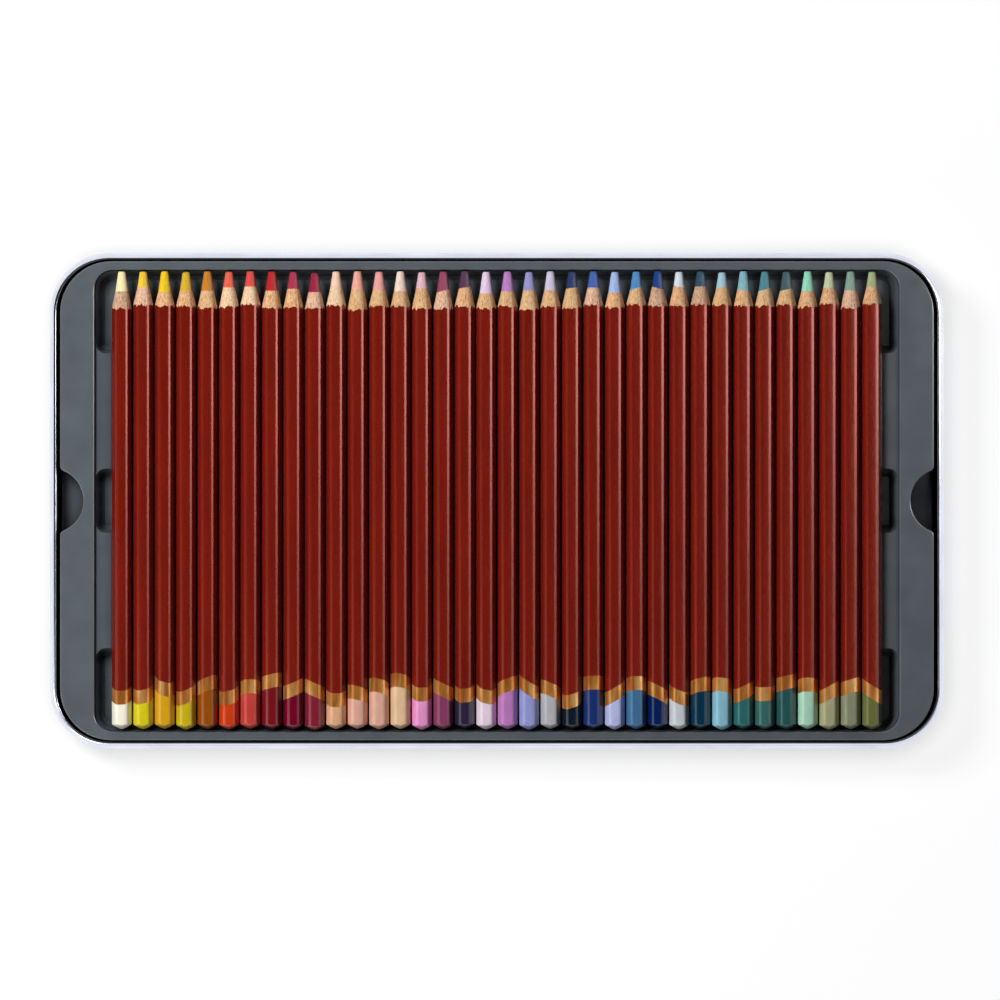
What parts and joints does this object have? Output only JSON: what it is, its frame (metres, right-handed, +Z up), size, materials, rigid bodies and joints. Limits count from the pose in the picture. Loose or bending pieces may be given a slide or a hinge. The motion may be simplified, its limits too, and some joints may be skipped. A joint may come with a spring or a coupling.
{
  "type": "colored pencil box",
  "caption": "Open rounded tinplate pencil box with grey formed trays in two layers, each with a row of lacquered hexagonal colored pencils, and its slip lid stowed underneath.",
  "frame": {"origin": "middle of the underside of the lid panel that the box stands on", "axes": "+X along the row of pencils, +Y towards the pencil tips, +Z up"},
  "size_m": [0.3432, 0.1902, 0.0305],
  "materials": {
    "tinplate": "bright tinplate, smooth and lightly scattered",
    "tray_plastic": "slate grey formed sheet, satin",
    "lacquered_wood": "dark red-brown gloss lacquer over pale wood",
    "colored_core": "waxy pigment, matt"
  },
  "bodies": {
    "lid": {"lid": "tinplate"},
    "base": {"tin_base": "tinplate"},
    "lower_layer": {"lower_tray": "tray_plastic", "lower_pencil_casings": "lacquered_wood", "lower_pencil_cores": "colored_core"},
    "upper_tray": {"upper_tray": "tray_plastic"},
    "pencil_01": {"pencil_01": "lacquered_wood"},
    "pencil_02": {"pencil_02": "lacquered_wood"},
    "pencil_03": {"pencil_03": "lacquered_wood"},
    "pencil_04": {"pencil_04": "lacquered_wood"},
    "pencil_05": {"pencil_05": "lacquered_wood"},
    "pencil_06": {"pencil_06": "lacquered_wood"},
    "pencil_07": {"pencil_07": "lacquered_wood"},
    "pencil_08": {"pencil_08": "lacquered_wood"},
    "pencil_09": {"pencil_09": "lacquered_wood"},
    "pencil_10": {"pencil_10": "lacquered_wood"},
    "pencil_11": {"pencil_11": "lacquered_wood"},
    "pencil_12": {"pencil_12": "lacquered_wood"},
    "pencil_13": {"pencil_13": "lacquered_wood"},
    "pencil_14": {"pencil_14": "lacquered_wood"},
    "pencil_15": {"pencil_15": "lacquered_wood"},
    "pencil_16": {"pencil_16": "lacquered_wood"},
    "pencil_17": {"pencil_17": "lacquered_wood"},
    "pencil_18": {"pencil_18": "lacquered_wood"},
    "pencil_19": {"pencil_19": "lacquered_wood"},
    "pencil_20": {"pencil_20": "lacquered_wood"},
    "pencil_21": {"pencil_21": "lacquered_wood"},
    "pencil_22": {"pencil_22": "lacquered_wood"},
    "pencil_23": {"pencil_23": "lacquered_wood"},
    "pencil_24": {"pencil_24": "lacquered_wood"},
    "pencil_25": {"pencil_25": "lacquered_wood"},
    "pencil_26": {"pencil_26": "lacquered_wood"},
    "pencil_27": {"pencil_27": "lacquered_wood"},
    "pencil_28": {"pencil_28": "lacquered_wood"},
    "pencil_29": {"pencil_29": "lacquered_wood"},
    "pencil_30": {"pencil_30": "lacquered_wood"},
    "pencil_31": {"pencil_31": "lacquered_wood"},
    "pencil_32": {"pencil_32": "lacquered_wood"},
    "pencil_33": {"pencil_33": "lacquered_wood"},
    "pencil_34": {"pencil_34": "lacquered_wood"},
    "pencil_35": {"pencil_35": "lacquered_wood"},
    "pencil_36": {"pencil_36": "lacquered_wood"}
  },
  "joints": [
    {"name": "base_lift", "type": "slide", "parent": "lid", "child": "base", "axis": [0, 0, 1], "range_m": [0, 0.045]},
    {"name": "lower_tray_lift", "type": "slide", "parent": "base", "child": "lower_layer", "axis": [0, 0, 1], "range_m": [0, 0.06]},
    {"name": "upper_tray_lift", "type": "slide", "parent": "lower_layer", "child": "upper_tray", "axis": [0, 0, 1], "range_m": [0, 0.06]},
    {"name": "pencil_01_lift", "type": "slide", "parent": "upper_tray", "child": "pencil_01", "axis": [0, 0, 1], "range_m": [0, 0.04]},
    {"name": "pencil_02_lift", "type": "slide", "parent": "upper_tray", "child": "pencil_02", "axis": [0, 0, 1], "range_m": [0, 0.04]},
    {"name": "pencil_03_lift", "type": "slide", "parent": "upper_tray", "child": "pencil_03", "axis": [0, 0, 1], "range_m": [0, 0.04]},
    {"name": "pencil_04_lift", "type": "slide", "parent": "upper_tray", "child": "pencil_04", "axis": [0, 0, 1], "range_m": [0, 0.04]},
    {"name": "pencil_05_lift", "type": "slide", "parent": "upper_tray", "child": "pencil_05", "axis": [0, 0, 1], "range_m": [0, 0.04]},
    {"name": "pencil_06_lift", "type": "slide", "parent": "upper_tray", "child": "pencil_06", "axis": [0, 0, 1], "range_m": [0, 0.04]},
    {"name": "pencil_07_lift", "type": "slide", "parent": "upper_tray", "child": "pencil_07", "axis": [0, 0, 1], "range_m": [0, 0.04]},
    {"name": "pencil_08_lift", "type": "slide", "parent": "upper_tray", "child": "pencil_08", "axis": [0, 0, 1], "range_m": [0, 0.04]},
    {"name": "pencil_09_lift", "type": "slide", "parent": "upper_tray", "child": "pencil_09", "axis": [0, 0, 1], "range_m": [0, 0.04]},
    {"name": "pencil_10_lift", "type": "slide", "parent": "upper_tray", "child": "pencil_10", "axis": [0, 0, 1], "range_m": [0, 0.04]},
    {"name": "pencil_11_lift", "type": "slide", "parent": "upper_tray", "child": "pencil_11", "axis": [0, 0, 1], "range_m": [0, 0.04]},
    {"name": "pencil_12_lift", "type": "slide", "parent": "upper_tray", "child": "pencil_12", "axis": [0, 0, 1], "range_m": [0, 0.04]},
    {"name": "pencil_13_lift", "type": "slide", "parent": "upper_tray", "child": "pencil_13", "axis": [0, 0, 1], "range_m": [0, 0.04]},
    {"name": "pencil_14_lift", "type": "slide", "parent": "upper_tray", "child": "pencil_14", "axis": [0, 0, 1], "range_m": [0, 0.04]},
    {"name": "pencil_15_lift", "type": "slide", "parent": "upper_tray", "child": "pencil_15", "axis": [0, 0, 1], "range_m": [0, 0.04]},
    {"name": "pencil_16_lift", "type": "slide", "parent": "upper_tray", "child": "pencil_16", "axis": [0, 0, 1], "range_m": [0, 0.04]},
    {"name": "pencil_17_lift", "type": "slide", "parent": "upper_tray", "child": "pencil_17", "axis": [0, 0, 1], "range_m": [0, 0.04]},
    {"name": "pencil_18_lift", "type": "slide", "parent": "upper_tray", "child": "pencil_18", "axis": [0, 0, 1], "range_m": [0, 0.04]},
    {"name": "pencil_19_lift", "type": "slide", "parent": "upper_tray", "child": "pencil_19", "axis": [0, 0, 1], "range_m": [0, 0.04]},
    {"name": "pencil_20_lift", "type": "slide", "parent": "upper_tray", "child": "pencil_20", "axis": [0, 0, 1], "range_m": [0, 0.04]},
    {"name": "pencil_21_lift", "type": "slide", "parent": "upper_tray", "child": "pencil_21", "axis": [0, 0, 1], "range_m": [0, 0.04]},
    {"name": "pencil_22_lift", "type": "slide", "parent": "upper_tray", "child": "pencil_22", "axis": [0, 0, 1], "range_m": [0, 0.04]},
    {"name": "pencil_23_lift", "type": "slide", "parent": "upper_tray", "child": "pencil_23", "axis": [0, 0, 1], "range_m": [0, 0.04]},
    {"name": "pencil_24_lift", "type": "slide", "parent": "upper_tray", "child": "pencil_24", "axis": [0, 0, 1], "range_m": [0, 0.04]},
    {"name": "pencil_25_lift", "type": "slide", "parent": "upper_tray", "child": "pencil_25", "axis": [0, 0, 1], "range_m": [0, 0.04]},
    {"name": "pencil_26_lift", "type": "slide", "parent": "upper_tray", "child": "pencil_26", "axis": [0, 0, 1], "range_m": [0, 0.04]},
    {"name": "pencil_27_lift", "type": "slide", "parent": "upper_tray", "child": "pencil_27", "axis": [0, 0, 1], "range_m": [0, 0.04]},
    {"name": "pencil_28_lift", "type": "slide", "parent": "upper_tray", "child": "pencil_28", "axis": [0, 0, 1], "range_m": [0, 0.04]},
    {"name": "pencil_29_lift", "type": "slide", "parent": "upper_tray", "child": "pencil_29", "axis": [0, 0, 1], "range_m": [0, 0.04]},
    {"name": "pencil_30_lift", "type": "slide", "parent": "upper_tray", "child": "pencil_30", "axis": [0, 0, 1], "range_m": [0, 0.04]},
    {"name": "pencil_31_lift", "type": "slide", "parent": "upper_tray", "child": "pencil_31", "axis": [0, 0, 1], "range_m": [0, 0.04]},
    {"name": "pencil_32_lift", "type": "slide", "parent": "upper_tray", "child": "pencil_32", "axis": [0, 0, 1], "range_m": [0, 0.04]},
    {"name": "pencil_33_lift", "type": "slide", "parent": "upper_tray", "child": "pencil_33", "axis": [0, 0, 1], "range_m": [0, 0.04]},
    {"name": "pencil_34_lift", "type": "slide", "parent": "upper_tray", "child": "pencil_34", "axis": [0, 0, 1], "range_m": [0, 0.04]},
    {"name": "pencil_35_lift", "type": "slide", "parent": "upper_tray", "child": "pencil_35", "axis": [0, 0, 1], "range_m": [0, 0.04]},
    {"name": "pencil_36_lift", "type": "slide", "parent": "upper_tray", "child": "pencil_36", "axis": [0, 0, 1], "range_m": [0, 0.04]}
  ]
}
